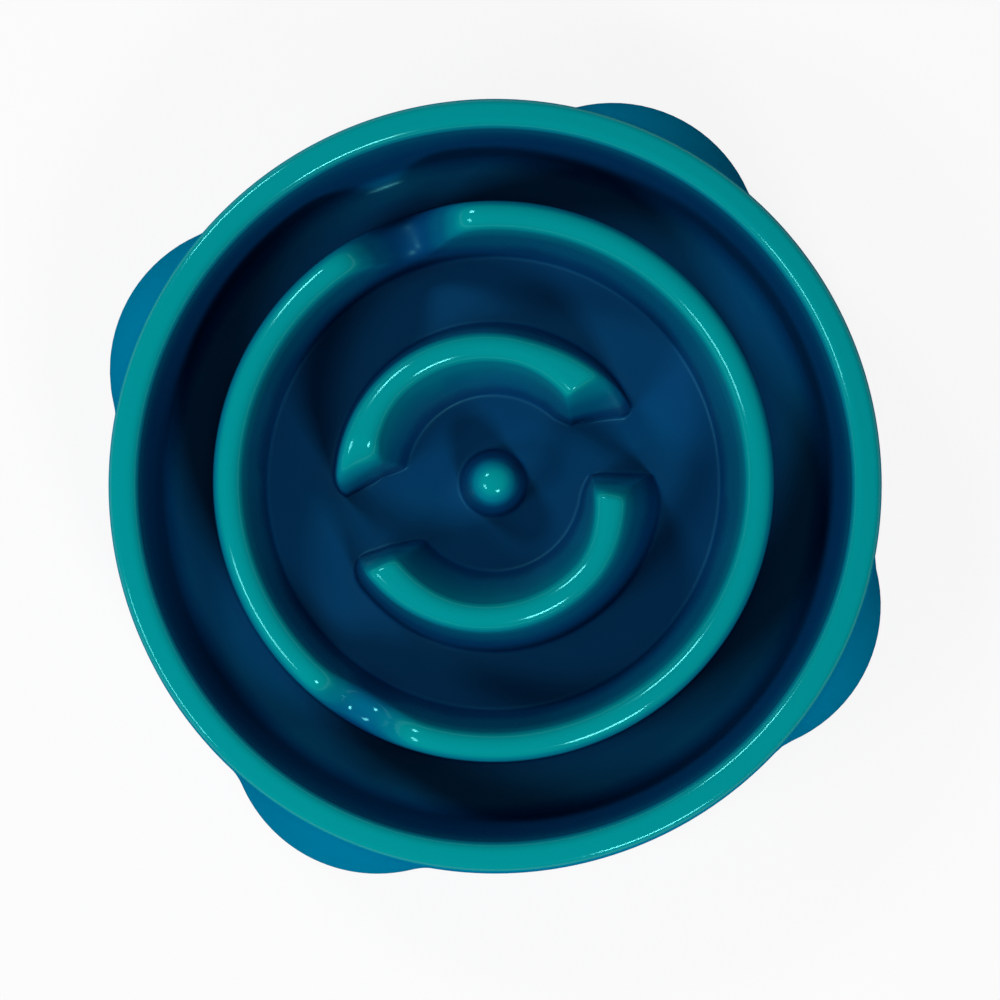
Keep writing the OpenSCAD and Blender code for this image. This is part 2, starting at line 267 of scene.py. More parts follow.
def ridge_section(crest_h, crest_r, widths, slopes, inset, counts):
    """Cross-sections of a ridge, one row per direction, as points (x from the crest line, height).

    Two straight sides start at their feet, widths from the crest line. Each is rounded into the level
    crest by a circle of radius crest_r, or of a little less than the one circle that would touch both
    sides and the crest, where that is smaller. A rounding of radius FOOT_FILLET joins each side, or
    the crest's circle itself where the ridge is low, to the floor. The hidden skin has the same
    centres, with inset taken off the crest's circles and added to the roundings. Where the ridge is
    lower than NOSE_LOW_H its stations spread evenly over its width, at the height found there. One
    more station stands on the floor at each end.
    """
    h, f = np.maximum(crest_h, 0.0)[:, None], FOOT_FILLET
    sin, cos = [np.sin(q)[:, None] for q in slopes], [np.cos(q)[:, None] for q in slopes]
    w = [q[:, None] for q in widths]
    full_width = h * (1 / cos[0] + 1 / cos[1]) - w[0] - w[1]
    round_z = full_width / ((1 - sin[0]) / cos[0] + (1 - sin[1]) / cos[1])
    full_r = np.minimum(crest_r, (h - round_z) * CREST_ROUND_SHARE)
    cz, skin_r = h - full_r, full_r - inset
    reach = np.sqrt(np.maximum((full_r + f) ** 2 - (f - cz) ** 2, 0.0))
    touch = np.arcsin(np.clip((f - cz) / (full_r + f), -1.0, 1.0))
    crest_c, parts = [], []
    for k, sign in ((0, -1.0), (1, 1.0)):
        slope = slopes[k][:, None]
        centre = sign * (w[k] - (full_r + sin[k] * cz) / cos[k])
        at_side = sign * (w[k] + f * (1 - sin[k]) / cos[k])
        foot_x = np.where(touch > slope, centre + sign * reach, at_side)
        turn = np.maximum(slope, touch)
        u = np.linspace(0.0, 1.0, counts["fillet"] + 1)[None]
        a = -math.pi / 2 + u * (math.pi / 2 - turn)
        foot = np.stack([foot_x - sign * (f + inset) * np.cos(a), f + (f + inset) * np.sin(a)], axis=-1)
        u = np.linspace(0.0, 1.0, counts["crest"] + 1)[None]
        a = turn * (1 - u) + math.pi / 2 * u
        crest = np.stack([centre + sign * skin_r * np.cos(a), cz + skin_r * np.sin(a)], axis=-1)
        crest_c.append(centre)
        parts.append(np.concatenate([foot, bridge(foot, crest, counts["slope"]), crest], axis=1))
    parts[1] = parts[1][:, ::-1]
    full = np.concatenate([parts[0], bridge(parts[0], parts[1], counts["flat"]), parts[1]], axis=1)

    u = np.linspace(0.0, 1.0, full.shape[1])[None]
    share = ease(h / NOSE_LOW_H)
    x = ((w[1] + f) * u - (w[0] + f) * (1 - u)) * (1 - share) + full[..., 0] * share
    off = np.maximum(np.maximum(crest_c[0] - x, x - crest_c[1]), 0.0)
    on_crest = cz + np.sqrt(np.maximum(skin_r ** 2 - off ** 2, 0.0))
    on_foot = f - np.sqrt(np.maximum((f + inset) ** 2 - np.maximum(reach - off, 0.0) ** 2, 0.0))
    z = np.where(off < skin_r * np.cos(touch), on_crest, on_foot)
    low = np.stack([x, z], axis=-1)
    ends = [np.stack([sign * (q + f + FOOT_MARGIN), np.full_like(q, -inset)], axis=-1)
            for sign, q in ((-1.0, w[0]), (1.0, w[1]))]
    return np.concatenate([ends[0], np.where(h[..., None] < NOSE_LOW_H, low, full), ends[1]], axis=1)


def ring_crest(theta, inset):
    """Height of the ring ridge's crest above the floor: level, with two saddles whose shoulders roll
    off slowly and then fall steeply. The hidden skin's saddles are longer, by a share of the inset.
    Each height is the mean over SADDLE_SOFT degrees to either side, which rounds the saddles' feet."""
    lead = inset * SADDLE_LEAD_SHARE / (RING_R * DEG)
    samples = 13
    around = theta[:, None] + np.linspace(-SADDLE_SOFT, SADDLE_SOFT, samples)[None]
    h = np.full_like(around, RING_H)
    for drop, (start, low, rise, end) in zip(SADDLE_DROPS, SADDLE_ANGLES):
        down = roll_off((around - start + lead) / (low - start))
        up = roll_off((end + lead - around) / (end - rise))
        h = h - drop * down * up
    return h.mean(axis=1)


def up_to(last, theta):
    """The directions theta as seen from a ridge whose last tip is at the direction last, which may be
    past a whole turn: those more than 320 degrees before it have a whole turn added."""
    return np.where(theta < last - 320.0, theta + 360.0, theta)


def arc_ridge_rows(theta, inset):
    """For each direction: the arc ridges' crest height, the shares of their widths and their slant.

    A crest rises from each tip over the nose's length, in the nose's form, and its widths grow from
    the tip's shares to the whole over their own length, in TIP_ROUND_FORM. In front of the tip a
    rounding of radius FOOT_FILLET runs it out into the floor. The hidden skin's tips stand back by
    the wall's thickness. Between the tips, over the gates, the shares and the slant go evenly from
    one tip's to the next tip's.
    """
    back, foot_r = inset / (ARC_R * DEG), FOOT_FILLET + inset
    height = np.zeros_like(theta)
    tips = np.array(TIP_SHARES).reshape(-1, 2)
    shares = [np.interp(theta, np.array(ARC_SPANS).ravel(), tips[:, k], period=360.0) for k in (0, 1)]
    knots, slants = [], []
    for (first, last), noses, (form_a, form_b), (slant_a, slant_b), (tip_a, tip_b), rounds in zip(
            ARC_SPANS, ARC_NOSES, NOSE_FORMS, ARC_SLANTS, TIP_SHARES, TIP_ROUNDS):
        a = up_to(last, theta)
        way = a - first - back, last - back - a
        run = way[0] / (noses[0] - back), way[1] / (noses[1] - back)
        near, by_first = np.minimum(*run), run[0] < run[1]
        rise = np.where(by_first, nose_rise(near, form_a), nose_rise(near, form_b))
        out = np.clip(foot_r + np.where(by_first, *way) * ARC_R * DEG, 0.0, foot_r)
        ramp = foot_r - np.sqrt(foot_r ** 2 - out ** 2)
        height = np.where(near > 0, np.maximum(ARC_H * rise, foot_r), np.maximum(height, ramp))
        in_round = np.minimum(way[0] / (rounds[0] - back), way[1] / (rounds[1] - back))
        grown = nose_rise(in_round, TIP_ROUND_FORM)
        for k in (0, 1):
            tip = np.where(by_first, tip_a[k], tip_b[k])
            shares[k] = np.where(near > 0, tip + (1 - tip) * grown, shares[k])
        knot = np.linspace(first, last, 60)
        knots.append(knot)
        slants.append(slant_a * (1 - ease((knot - first) / SLANT_REACH))
                      + slant_b * (1 - ease((last - knot) / SLANT_REACH)))
    slant = np.interp(theta, np.concatenate(knots), np.concatenate(slants), period=360.0)
    return height, shares, slant


def steeper(theta):
    """Share by which the arc ridges' inner and outer sides stand steeper, which widens their crests:
    whole at each tip, none at STEEP_REACH degrees from it, and none beyond the ridge."""
    shares = [np.zeros_like(theta), np.zeros_like(theta)]
    for (first, last), sides in zip(ARC_SPANS, TIP_STEEPER):
        a = up_to(last, theta)
        on_ridge = (a > first) & (a < last)
        for away, side in zip((a - first, last - a), sides):
            for k in (0, 1):
                shares[k] += np.where(on_ridge, side[k] * ease(1 - away / STEEP_REACH), 0.0)
    return shares


def twist(r, slant, shift):
    """Turn, in degrees, of points at radius r, which cuts the arc ridges' tips at a slant.

    It goes evenly with the radius over NOSE_SLANT_SHARE of the way from the crest line to each foot,
    to -slant times the inner side's part of the width and to +slant times the outer side's part, and
    stays so beyond. It fades out before the knob and before the ring ridge.
    """
    across = np.clip((r - ARC_R - shift) / NOSE_SLANT_SHARE + shift, -ARC_IN_W, ARC_OUT_W)
    across = across / (ARC_IN_W + ARC_OUT_W)
    knob_edge, arc_edge = KNOB_W + 2 * FOOT_FILLET, ARC_R - ARC_IN_W
    ring_edge, far_edge = RING_R - RING_IN_W - FOOT_FILLET, ARC_R + ARC_OUT_W
    fade = ease((r - knob_edge) / (arc_edge - knob_edge)) * ease((ring_edge - r) / (ring_edge - far_edge))
    return slant * across * fade


def directions():
    """Directions of the rows, in degrees: the closest at the tips of the arc ridges, on the shown
    skin and on the hidden one, closer ones on the saddles' ramps, and even ones elsewhere. Each kind
    keeps its own least gap, also from the rows of the kinds before it."""
    tips = []
    for inset, steps in zip((0.0, WALL_T), TIP_ROWS):
        back, foot = inset / (ARC_R * DEG), (FOOT_FILLET + inset) / (ARC_R * DEG)
        up = 1 - np.cos(np.linspace(0.0, 90.0, steps + 1) * DEG)
        out = 1 - np.sin(np.linspace(0.0, 90.0, steps // 2 + 1) * DEG)
        for (first, last), (nose_a, nose_b) in zip(ARC_SPANS, ARC_NOSES):
            for tip, sign, nose in ((first, 1, nose_a), (last, -1, nose_b)):
                at = tip + sign * back
                tips += [at + sign * (nose - back) * up, at - sign * foot * out, [at + sign * TIP_INSIDE]]
    ramps = [np.arange(turns[0] - SADDLE_SOFT, turns[3] + SADDLE_SOFT, RAMP_STEP)
             for turns in SADDLE_ANGLES]
    even, kept = np.arange(0.0, 360.0, EVEN_STEP), np.zeros(0)
    for more, gap in zip((np.concatenate(tips), np.concatenate(ramps), even), ROW_GAPS):
        more = np.unique(np.round(more % 360.0, 3))
        more = more[np.concatenate([[True], np.diff(more) > gap])]
        if len(kept):
            apart = np.abs((more[:, None] - kept[None] + 180.0) % 360.0 - 180.0).min(axis=1)
            more = more[apart > gap]
        kept = np.concatenate([kept, more])
    return np.sort(kept)


def skirt_radius(theta, z, inset):
    """Radius of the skirt: the plain flared skirt, with a cone standing out of it at each lobe.

    The plain skirt's radius grows evenly down from the rim. A lobe is a circle of radius
    LOBE_R less its flare, about a point LOBE_D from the centre: seen at the angle d from its axis
    its far side is at LOBE_D cos d + root(r squared - (LOBE_D sin d) squared).
    """
    flare, lobe_flare = SKIRT_FLARE * DEG, LOBE_FLARE * DEG
    shoulder_x = RIM_R - RIM_OUTER_R + RIM_OUTER_R * math.cos(flare)
    shoulder_z = BOWL_H - RIM_OUTER_R + RIM_OUTER_R * math.sin(flare)
    radius = shoulder_x + (shoulder_z - z) * math.tan(flare) - inset / math.cos(flare) + 0 * theta
    lobe_r = LOBE_R - (z - EDGE_Z) * math.tan(lobe_flare) - inset / math.cos(lobe_flare)
    for angle in LOBE_ANGLES:
        off = ((theta - angle + 180.0) % 360.0 - 180.0) * DEG
        side = np.maximum(lobe_r ** 2 - (LOBE_D * np.sin(off)) ** 2, 0.0)
        lobe = np.where(np.abs(off) < math.pi / 2, LOBE_D * np.cos(off) + np.sqrt(side), 0.0)
        radius = smooth_max(radius, lobe, LOBE_BLEND)
    return radius


def skin(theta, inset, counts):
    """One side of the moulded wall, from the centre of the maze to the bottom edge of the skirt."""
    col, one = theta[:, None], np.ones(len(theta))
    slope = side_slope(KNOB_H, KNOB_TOP_R, KNOB_W) * one
    knob = ridge_section(KNOB_H * one, KNOB_TOP_R, (KNOB_W * one, KNOB_W * one), (slope, slope), inset,
                         dict(counts, crest=counts["dome"]))
    knob = knob[:, knob.shape[1] // 2:]

    height, shares, slant = arc_ridge_rows(theta, inset)
    shift = ARC_LEAN * np.cos((theta - ARC_LEAN_ANGLE) * DEG)
    second = np.interp(theta, np.array(ARC_SPANS).ravel(), (0.0, 0.0, 1.0, 1.0), period=360.0)
    widths = ARC_IN_W + shift, ARC_OUT_W + second * ARC_MORE_OUT_W - shift
    slopes = [side_slope(ARC_H, ARC_CREST_R, w) * (1 - q) for w, q in zip(widths, steeper(theta))]
    widths = [w * q for w, q in zip(widths, shares)]
    arcs = ridge_section(height, ARC_CREST_R, widths, slopes, inset, counts)
    arcs[..., 0] += ARC_R + shift[:, None]

    widths = RING_IN_W * one, RING_OUT_W * one
    slopes = [side_slope(RING_H, RING_CREST_R, w) for w in widths]
    ring = ridge_section(ring_crest(theta, inset), RING_CREST_R, widths, slopes, inset, counts)
    ring[..., 0] += RING_R

    fill = counts["floor"]
    maze = np.concatenate([knob, bridge(knob, arcs, fill), arcs, bridge(arcs, ring, fill), ring], axis=1)
    r, z = maze[..., 0], FLOOR_Z + maze[..., 1]
    maze = polar(r, col + twist(r, slant[:, None], shift[:, None]), z, MAZE_AT)

    inner_c = RIM_R - RIM_W + RIM_INNER_R, BOWL_H - RIM_INNER_R
    outer_c = RIM_R - RIM_OUTER_R, BOWL_H - RIM_OUTER_R
    fillet_z = FLOOR_Z + FLOOR_FILLET
    run = RIM_INNER_R + FLOOR_FILLET - math.sin(WALL_DRAFT * DEG) * (fillet_z - inner_c[1])
    fillet_x = inner_c[0] - run / math.cos(WALL_DRAFT * DEG)
    foot = arc(fillet_x, fillet_z, FLOOR_FILLET + inset, -90, -WALL_DRAFT, counts["round"])
    mouth = arc(inner_c[0], inner_c[1], RIM_INNER_R - inset, 180 - WALL_DRAFT, 90, counts["round"])
    edge = arc(outer_c[0], outer_c[1], RIM_OUTER_R - inset, 90, SKIRT_FLARE, counts["round"])
    u = np.linspace(0.0, 1.0, counts["wall"] + 2)[1:-1]
    wall = [foot[k][-1] * (1 - u) + mouth[k][0] * u for k in (0, 1)]
    u = np.array([1 / 3, 2 / 3])
    top = [mouth[k][-1] * (1 - u) + edge[k][0] * u for k in (0, 1)]
    radius, z = [np.concatenate([foot[k], wall[k], mouth[k], top[k], edge[k]])[None] for k in (0, 1)]
    side = polar(radius + 0 * col, col, z)

    u = np.linspace(0.0, 1.0, counts["skirt"] + 1)[1:]
    z = (edge[1][-1] * (1 - u) + (EDGE_Z + WALL_T / 2) * u)[None]
    plain = edge[0][-1] + (edge[1][-1] - z) * math.tan(SKIRT_FLARE * DEG)
    under_rim = ease((edge[1][-1] - z - LOBE_START) / LOBE_RUN)
    skirt = polar(plain + (skirt_radius(col, z, inset) - plain) * under_rim, col, z)
    return np.concatenate([maze, bridge(maze, side, fill), side, skirt], axis=1)


def grid_normals(p):
    """Unit normals of a grid of points that is closed round its rows: the sum of the cross products
    of the diagonals of the faces round each point, so that larger faces count for more."""
    after = np.roll(p, -1, axis=0)
    face = np.cross(after[:, 1:] - p[:, :-1], after[:, :-1] - p[:, 1:])
    face = face + np.roll(face, 1, axis=0)
    n = np.pad(face, ((0, 0), (1, 0), (0, 0))) + np.pad(face, ((0, 0), (0, 1), (0, 0)))
    return n / np.maximum(np.linalg.norm(n, axis=-1, keepdims=True), 1e-12)


def along_lanes(at, known, values):
    """For each row of known places and values: the values at the places at, in one interpolation,
    for which each row gets a lane of its own."""
    lanes = LANE_W * np.arange(len(known))[:, None]
    found = np.interp((at[None] + lanes).ravel(), (known + lanes).ravel(), values.ravel())
    return found.reshape(len(known), len(at))


def height_map(p, theta, radii, angles):
    """Height of the shown skin over whole angles and even radii about the maze's centre. Between its
    points the skin is taken as straight, first along the rows and then round them."""
    x, y = p[..., 0] - MAZE_AT[0], p[..., 1] - MAZE_AT[1]
    off = (np.degrees(np.arctan2(y, x)) - theta[:, None] + 180.0) % 360.0 - 180.0
    off[:, 0] = off[:, 1]
    r = np.maximum.accumulate(np.hypot(x, y), axis=1) + np.arange(p.shape[1]) * LEAST_STEP
    z = along_lanes(radii, r, p[..., 2])
    z = np.where(radii[None] > r[:, -1:], 0.0, z)
    turned = theta[:, None] + along_lanes(radii, r, off)
    z = np.concatenate([z[-3:], z, z[:3]])
    turned = np.concatenate([turned[-3:] - 360.0, turned, turned[:3] + 360.0])
    clear_of_0 = 100.0
    return along_lanes(angles + clear_of_0, turned.T + clear_of_0, z.T).T


def openness(p, theta):
    """Share of the sky that each point of the shown skin sees, weighted by the cosine to its normal.

    From each point the horizon is followed outwards in SKY_DIRECTIONS directions over the height map,
    and the sky above it is summed in bands of elevation. The middle value of each five rows is kept.
    """
    radii, angles = np.arange(0.0, MAP_REACH, MAP_STEP), np.arange(0.0, 360.0)
    table = height_map(p, theta, radii, angles)
    n = grid_normals(p)
    bands = (np.arange(SKY_BANDS) + 0.5) * (90.0 / SKY_BANDS) * DEG
    seen, full = np.zeros(p.shape[:2]), 0.0
    for azimuth in (np.arange(SKY_DIRECTIONS) + 0.5) * (360.0 / SKY_DIRECTIONS) * DEG:
        dx, dy = math.cos(azimuth), math.sin(azimuth)
        horizon = np.full(p.shape[:2], LOWEST_HORIZON)
        for s in SKY_DISTANCES:
            x, y = p[..., 0] + dx * s - MAZE_AT[0], p[..., 1] + dy * s - MAZE_AT[1]
            row = np.rint(np.degrees(np.arctan2(y, x))).astype(int) % 360
            at = np.minimum(np.rint(np.hypot(x, y) / MAP_STEP).astype(int), len(radii) - 1)
            horizon = np.maximum(horizon, np.arctan2(table[row, at] - p[..., 2], s))
        for band in bands:
            facing = (n[..., 0] * dx + n[..., 1] * dy) * math.cos(band) + n[..., 2] * math.sin(band)
            clear = np.clip((band - horizon) / HORIZON_SOFT + 0.5, 0.0, 1.0)
            seen += np.maximum(facing, 0.0) * clear * math.cos(band)
            full += math.sin(band) * math.cos(band)
    rows = np.stack([np.roll(seen / full, k, axis=0) for k in (-2, -1, 0, 1, 2)])
    return np.median(rows, axis=0)


def spread(values, p, reach):
    """Mean of the values along each row, weighted 1 2 3 2 1, over reach mm of the way to either side."""
    step = np.linalg.norm(np.diff(p, axis=1), axis=-1)
    way = np.pad(np.cumsum(step, axis=1), ((0, 0), (1, 0))) + np.arange(p.shape[1]) * LEAST_STEP
    lanes = LANE_W * np.arange(len(p))[:, None]
    total, weights = np.zeros_like(values), (1, 2, 3, 2, 1)
    for part, weight in zip((-1.0, -0.5, 0.0, 0.5, 1.0), weights):
        at = np.clip(way + part * reach, 0.0, way[:, -1:]) + lanes
        found = np.interp(at.ravel(), (way + lanes).ravel(), values.ravel())
        total += weight * found.reshape(values.shape)
    return total / sum(weights)


def shade(p, theta):
    """Part of the open sky that the colour of each point of the inside is made for, less than 1 where more
    shade is painted in: low inside the ring ridge, on the outer wall, and in the ring's saddles."""
    rise = ease((p[..., 2] - FLOOR_Z) / SHADE_H)
    r = np.hypot(p[..., 0] - MAZE_AT[0], p[..., 1] - MAZE_AT[1])
    outside = ease((r - RING_R) / RING_OUT_W)
    part = FLOOR_SHADE + (1 - FLOOR_SHADE) * np.maximum(rise, outside)
    to_wall = ease((np.hypot(p[..., 0], p[..., 1]) - RIM_R + RIM_W + FLOOR_FILLET * 2) / FLOOR_FILLET)
    mouth_h, ring_reach, ring_fade = RIM_INNER_R * 1.5, RING_IN_W * 1.6, RING_IN_W * 0.6
    mouth = ease((p[..., 2] - BOWL_H + mouth_h) / mouth_h)
    part *= 1 - (1 - WALL_SHADE) * to_wall * rise * (1 - mouth)
    near_ring = ease((ring_reach - np.abs(r - RING_R)) / ring_fade)
    drop = RING_H - ring_crest(theta, 0.0)
    for deepest, turns, left in zip(SADDLE_DROPS, SADDLE_ANGLES, SADDLE_SHADES):
        in_saddle = (theta > turns[0] - SADDLE_SOFT) & (theta < turns[3] + SADDLE_SOFT)
        dip = np.where(in_saddle, drop / deepest, 0.0) ** 2
        part *= 1 - (1 - left) * dip[:, None] * near_ring
    return part


def make_piece(name, shapes, materials, open_sky=None, finish=None):
    """One object from a list of (points, blocks of faces) in millimetres, with smooth faces and
    creases over SHARP_ANGLE. Each point may have a share of open sky and the number of its finish:
    a face takes the lowest number of its corners, and that material."""
    points, faces, finishes, start = [], [], [], 0
    for p, blocks in shapes:
        points.append(p.reshape(-1, 3))
        for block in blocks:
            faces += (block + start).tolist()
            if finish is not None:
                finishes.append(finish[block + start].min(axis=1))
        start += len(points[-1])
    mesh = bpy.data.meshes.new(name)
    mesh.from_pydata((np.concatenate(points) * MM).tolist(), [], faces)
    mesh.shade_smooth()
    mesh.set_sharp_from_angle(angle=SHARP_ANGLE * DEG)
    for material in materials:
        mesh.materials.append(material)
    if open_sky is not None:
        attribute = mesh.attributes.new("open_sky", "FLOAT", "POINT")
        attribute.data.foreach_set("value", open_sky.astype(np.float32))
    if finishes:
        mesh.polygons.foreach_set("material_index", np.concatenate(finishes).astype(np.int32))
    piece = bpy.data.objects.new(name, mesh)
    bpy.context.scene.collection.objects.link(piece)
    return piece


def dress(piece, node):
    """Lets a piece ride on the bowl in place of a node of the frame."""
    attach(piece, "root")
    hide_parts(node)


def grid_faces(rows, cols):
    """Quads of a grid of points, from row to row and from the last row back to the first."""
    i, j = np.meshgrid(np.arange(rows), np.arange(cols - 1), indexing="ij")
    k = (i + 1) % rows
    quads = np.stack([i * cols + j, i * cols + j + 1, k * cols + j + 1, k * cols + j], axis=-1)
    return quads.reshape(-1, 4)


def closed_grid(p):
    """Points and faces of a grid closed round its rows, whose first and last columns are poles."""
    rows, cols = p.shape[0], p.shape[1] - 2
    poles = np.array([p[:, 0].mean(axis=0), p[:, -1].mean(axis=0)])
    i = np.arange(rows)
    k = (i + 1) % rows
    top, bottom = np.full(rows, rows * cols), np.full(rows, rows * cols + 1)
    fans = np.concatenate([np.stack([top, i * cols, k * cols], axis=-1),
                           np.stack([bottom, k * cols + cols - 1, i * cols + cols - 1], axis=-1)])
    return np.concatenate([p[:, 1:-1].reshape(-1, 3), poles]), [grid_faces(rows, cols), fans]


def rounded(corners, radii, count):
    """A closed outline with each corner rounded by an arc that touches both of its sides."""
    corner, radius = np.array(corners, float), np.array(radii, float)[:, None]
    a, b = np.roll(corner, 1, axis=0) - corner, np.roll(corner, -1, axis=0) - corner
    a, b = [q / np.linalg.norm(q, axis=1, keepdims=True) for q in (a, b)]
    half = np.arccos(np.clip((a * b).sum(axis=1, keepdims=True), -1.0, 1.0)) / 2
    centre = corner + (a + b) / np.linalg.norm(a + b, axis=1, keepdims=True) * radius / np.sin(half)
    start, end = [corner + q * radius / np.tan(half) - centre for q in (a, b)]
    first, last = [np.arctan2(q[:, 1:], q[:, :1]) for q in (start, end)]
    turn = (last - first + math.pi) % (2 * math.pi) - math.pi
    t = first + turn * np.linspace(0.0, 1.0, count + 1)[None]
    return (centre[:, None] + radius[:, None] * np.stack([np.cos(t), np.sin(t)], axis=-1)).reshape(-1, 2)


def sweep(sections, angles, lobe):
    """Carries closed outlines (radius, height) about a lobe's axis, one per angle, and closes both ends.

    A point is at LOBE_D + radius cos angle, radius sin angle, turned to the lobe's direction.
    """
    m, p = sections.shape[:2]
    x = LOBE_D + sections[..., 0] * np.cos(angles * DEG)[:, None]
    y = sections[..., 0] * np.sin(angles * DEG)[:, None]
    c, s = math.cos(lobe * DEG), math.sin(lobe * DEG)
    points = np.stack([c * x - s * y, s * x + c * y, sections[..., 1]], axis=-1)
    i, j = np.meshgrid(np.arange(m - 1), np.arange(p), indexing="ij")
    k = (j + 1) % p
    quads = np.stack([i * p + j, i * p + k, (i + 1) * p + k, (i + 1) * p + j], axis=-1)
    quads = quads.reshape(-1, 4)
    ends = np.stack([np.arange(p)[::-1], (m - 1) * p + np.arange(p)])
    return points, [quads[:, ::-1], ends[:, ::-1]]


def lathe(profile, x, y, count=28):
    """Turns a profile (radius, height), from its top pole to its bottom pole, about an upright axis
    at x, y."""
    t = np.arange(count)[:, None] * 2 * math.pi / count
    radius, z = profile[None, :, 0], np.broadcast_to(profile[None, :, 1], (count, len(profile)))
    return closed_grid(np.stack([x + radius * np.cos(t), y + radius * np.sin(t), z], axis=-1))


def new_material(name):
    """An empty node material, with its tree, its shader and a function that adds linked nodes."""
    material = bpy.data.materials.new(name)
    material.use_nodes = True
    tree = material.node_tree

    def add(kind, values=(), links=()):
        """Adds a node of a kind, sets its inputs or else its properties, and links its inputs."""
        node = tree.nodes.new(kind)
        for key, value in dict(values).items():
            if isinstance(key, int) or key in node.inputs.keys():
                node.inputs[key].default_value = value
            else:
                setattr(node, key, value)
        for socket, source in dict(links).items():
            tree.links.new(source, node.inputs[socket])
        return node

    return material, tree, tree.nodes["Principled BSDF"], add


def set_ramp(ramp, stops):
    """Fills a colour ramp with a smooth run of colours, given as (place, colour)."""
    ramp.interpolation = "EASE"
    while len(ramp.elements) < len(stops):
        ramp.elements.new(0.5)
    for element, (place, colour) in zip(ramp.elements, stops):
        element.position = place
        element.color = (*colour, 1.0)


def moulded_plastic(name, stops, gloss_range, level, grain_strength):
    """Moulded plastic whose colour is painted shade: teal where the skin lies open to the sky, running
    through blue on the slopes to deep blue in the channels. It has faint flow marks, a slight ripple, fine
    scratches, and where it is satin a fine grain."""
    material, tree, shader, add = new_material(name)
    place = add("ShaderNodeTexCoord").outputs["Object"]
    sky = add("ShaderNodeAttribute", {"attribute_name": "open_sky"}).outputs["Fac"]
    flow = add("ShaderNodeTexNoise", {"Scale": 14.0, "Detail": 3.0, "Roughness": 0.55}, {"Vector": place})
    shifted = add("ShaderNodeMath", {"operation": "MULTIPLY_ADD", 1: FLOW_SHARE},
                  {0: flow.outputs["Fac"], 2: sky})
    lowered = add("ShaderNodeMath", {"operation": "SUBTRACT", 1: FLOW_SHARE / 2}, {0: shifted.outputs[0]})
    # The base colour is painted shade: it follows the open_sky attribute and is darker where less sky is
    # open
    ramp = add("ShaderNodeValToRGB", links={"Fac": lowered.outputs[0]})
    set_ramp(ramp.color_ramp, stops)
    tree.links.new(ramp.outputs["Color"], shader.inputs["Base Color"])

    rub = add("ShaderNodeTexNoise", {"Scale": 55.0, "Detail": 5.0, "Roughness": 0.6}, {"Vector": place})
    gloss = add("ShaderNodeMapRange", {"From Min": 0.3, "From Max": 0.7, "To Min": gloss_range[0],
                                       "To Max": gloss_range[1]}, {"Value": rub.outputs["Fac"]})
    dull = add("ShaderNodeMapRange", {"From Min": 0.12, "From Max": 0.46, "To Min": 0.45, "To Max": 0.0},
               {"Value": sky})
    rough = add("ShaderNodeMath", {"operation": "ADD"},
                {0: gloss.outputs["Result"], 1: dull.outputs["Result"]})
    tree.links.new(rough.outputs[0], shader.inputs["Roughness"])
    shader.inputs["IOR"].default_value = 1.45
    shader.inputs["Specular IOR Level"].default_value = level
    shader.inputs["Specular Tint"].default_value = (0.20, 1.0, 1.0, 1.0)

    ripple = add("ShaderNodeTexNoise", {"Scale": 220.0, "Detail": 1.0}, {"Vector": place})
    stretch = add("ShaderNodeMapping", {"Rotation": (0.3, 0.2, 0.9), "Scale": (40.0, 900.0, 300.0)},
                  {"Vector": place})
    scratch = add("ShaderNodeTexNoise", {"Scale": 1.0, "Detail": 4.0, "Roughness": 0.7},
                  {"Vector": stretch.outputs["Vector"]})
    marks = add("ShaderNodeMapRange", {"From Min": 0.62, "From Max": 0.74, "To Min": 0.0, "To Max": 1.0},
                {"Value": scratch.outputs["Fac"]})
    grain = add("ShaderNodeTexNoise", {"Scale": 1100.0, "Detail": 2.0}, {"Vector": place})
    normal = None
    for height, strength, distance, invert in (
            (ripple.outputs["Fac"], 0.05, 0.00012, False), (marks.outputs["Result"], 0.05, 0.00004, True),
            (grain.outputs["Fac"], grain_strength, 0.00006, False)):
        links = {"Height": height} if normal is None else {"Height": height, "Normal": normal}
        bump = add("ShaderNodeBump", {"Strength": strength, "Distance": distance, "invert": invert}, links)
        normal = bump.outputs["Normal"]
    tree.links.new(normal, shader.inputs["Normal"])
    return material


def foot_rubber():
    """Matt dark rubber with a fine grain, and paler where it rubs on the floor."""
    material, tree, shader, add = new_material("foot_rubber")
    place = add("ShaderNodeTexCoord").outputs["Object"]
    grain = add("ShaderNodeTexNoise", {"Scale": 1400.0, "Detail": 3.0, "Roughness": 0.6}, {"Vector": place})
    cloud = add("ShaderNodeTexNoise", {"Scale": 90.0, "Detail": 4.0}, {"Vector": place})
    height = add("ShaderNodeSeparateXYZ", links={"Vector": place}).outputs["Z"]
    worn = add("ShaderNodeMapRange", {"From Min": 0.0, "From Max": 0.0012, "To Min": 0.45, "To Max": 0.0},
               {"Value": height})
    dust = add("ShaderNodeMath", {"operation": "MULTIPLY"},
               {0: worn.outputs["Result"], 1: cloud.outputs["Fac"]})
    both = add("ShaderNodeMath", {"operation": "MULTIPLY_ADD", 1: 0.35},
               {0: grain.outputs["Fac"], 2: dust.outputs[0]})
    ramp = add("ShaderNodeValToRGB", links={"Fac": both.outputs[0]})
    set_ramp(ramp.color_ramp, RUBBER_COLOURS)
    tree.links.new(ramp.outputs["Color"], shader.inputs["Base Color"])
    rough = add("ShaderNodeMapRange", {"From Min": 0.3, "From Max": 0.7, "To Min": 0.62, "To Max": 0.82},
                {"Value": cloud.outputs["Fac"]})
    tree.links.new(rough.outputs["Result"], shader.inputs["Roughness"])
    bump = add("ShaderNodeBump", {"Strength": 0.35, "Distance": 0.0002}, {"Height": grain.outputs["Fac"]})
    tree.links.new(bump.outputs["Normal"], shader.inputs["Normal"])
    return material


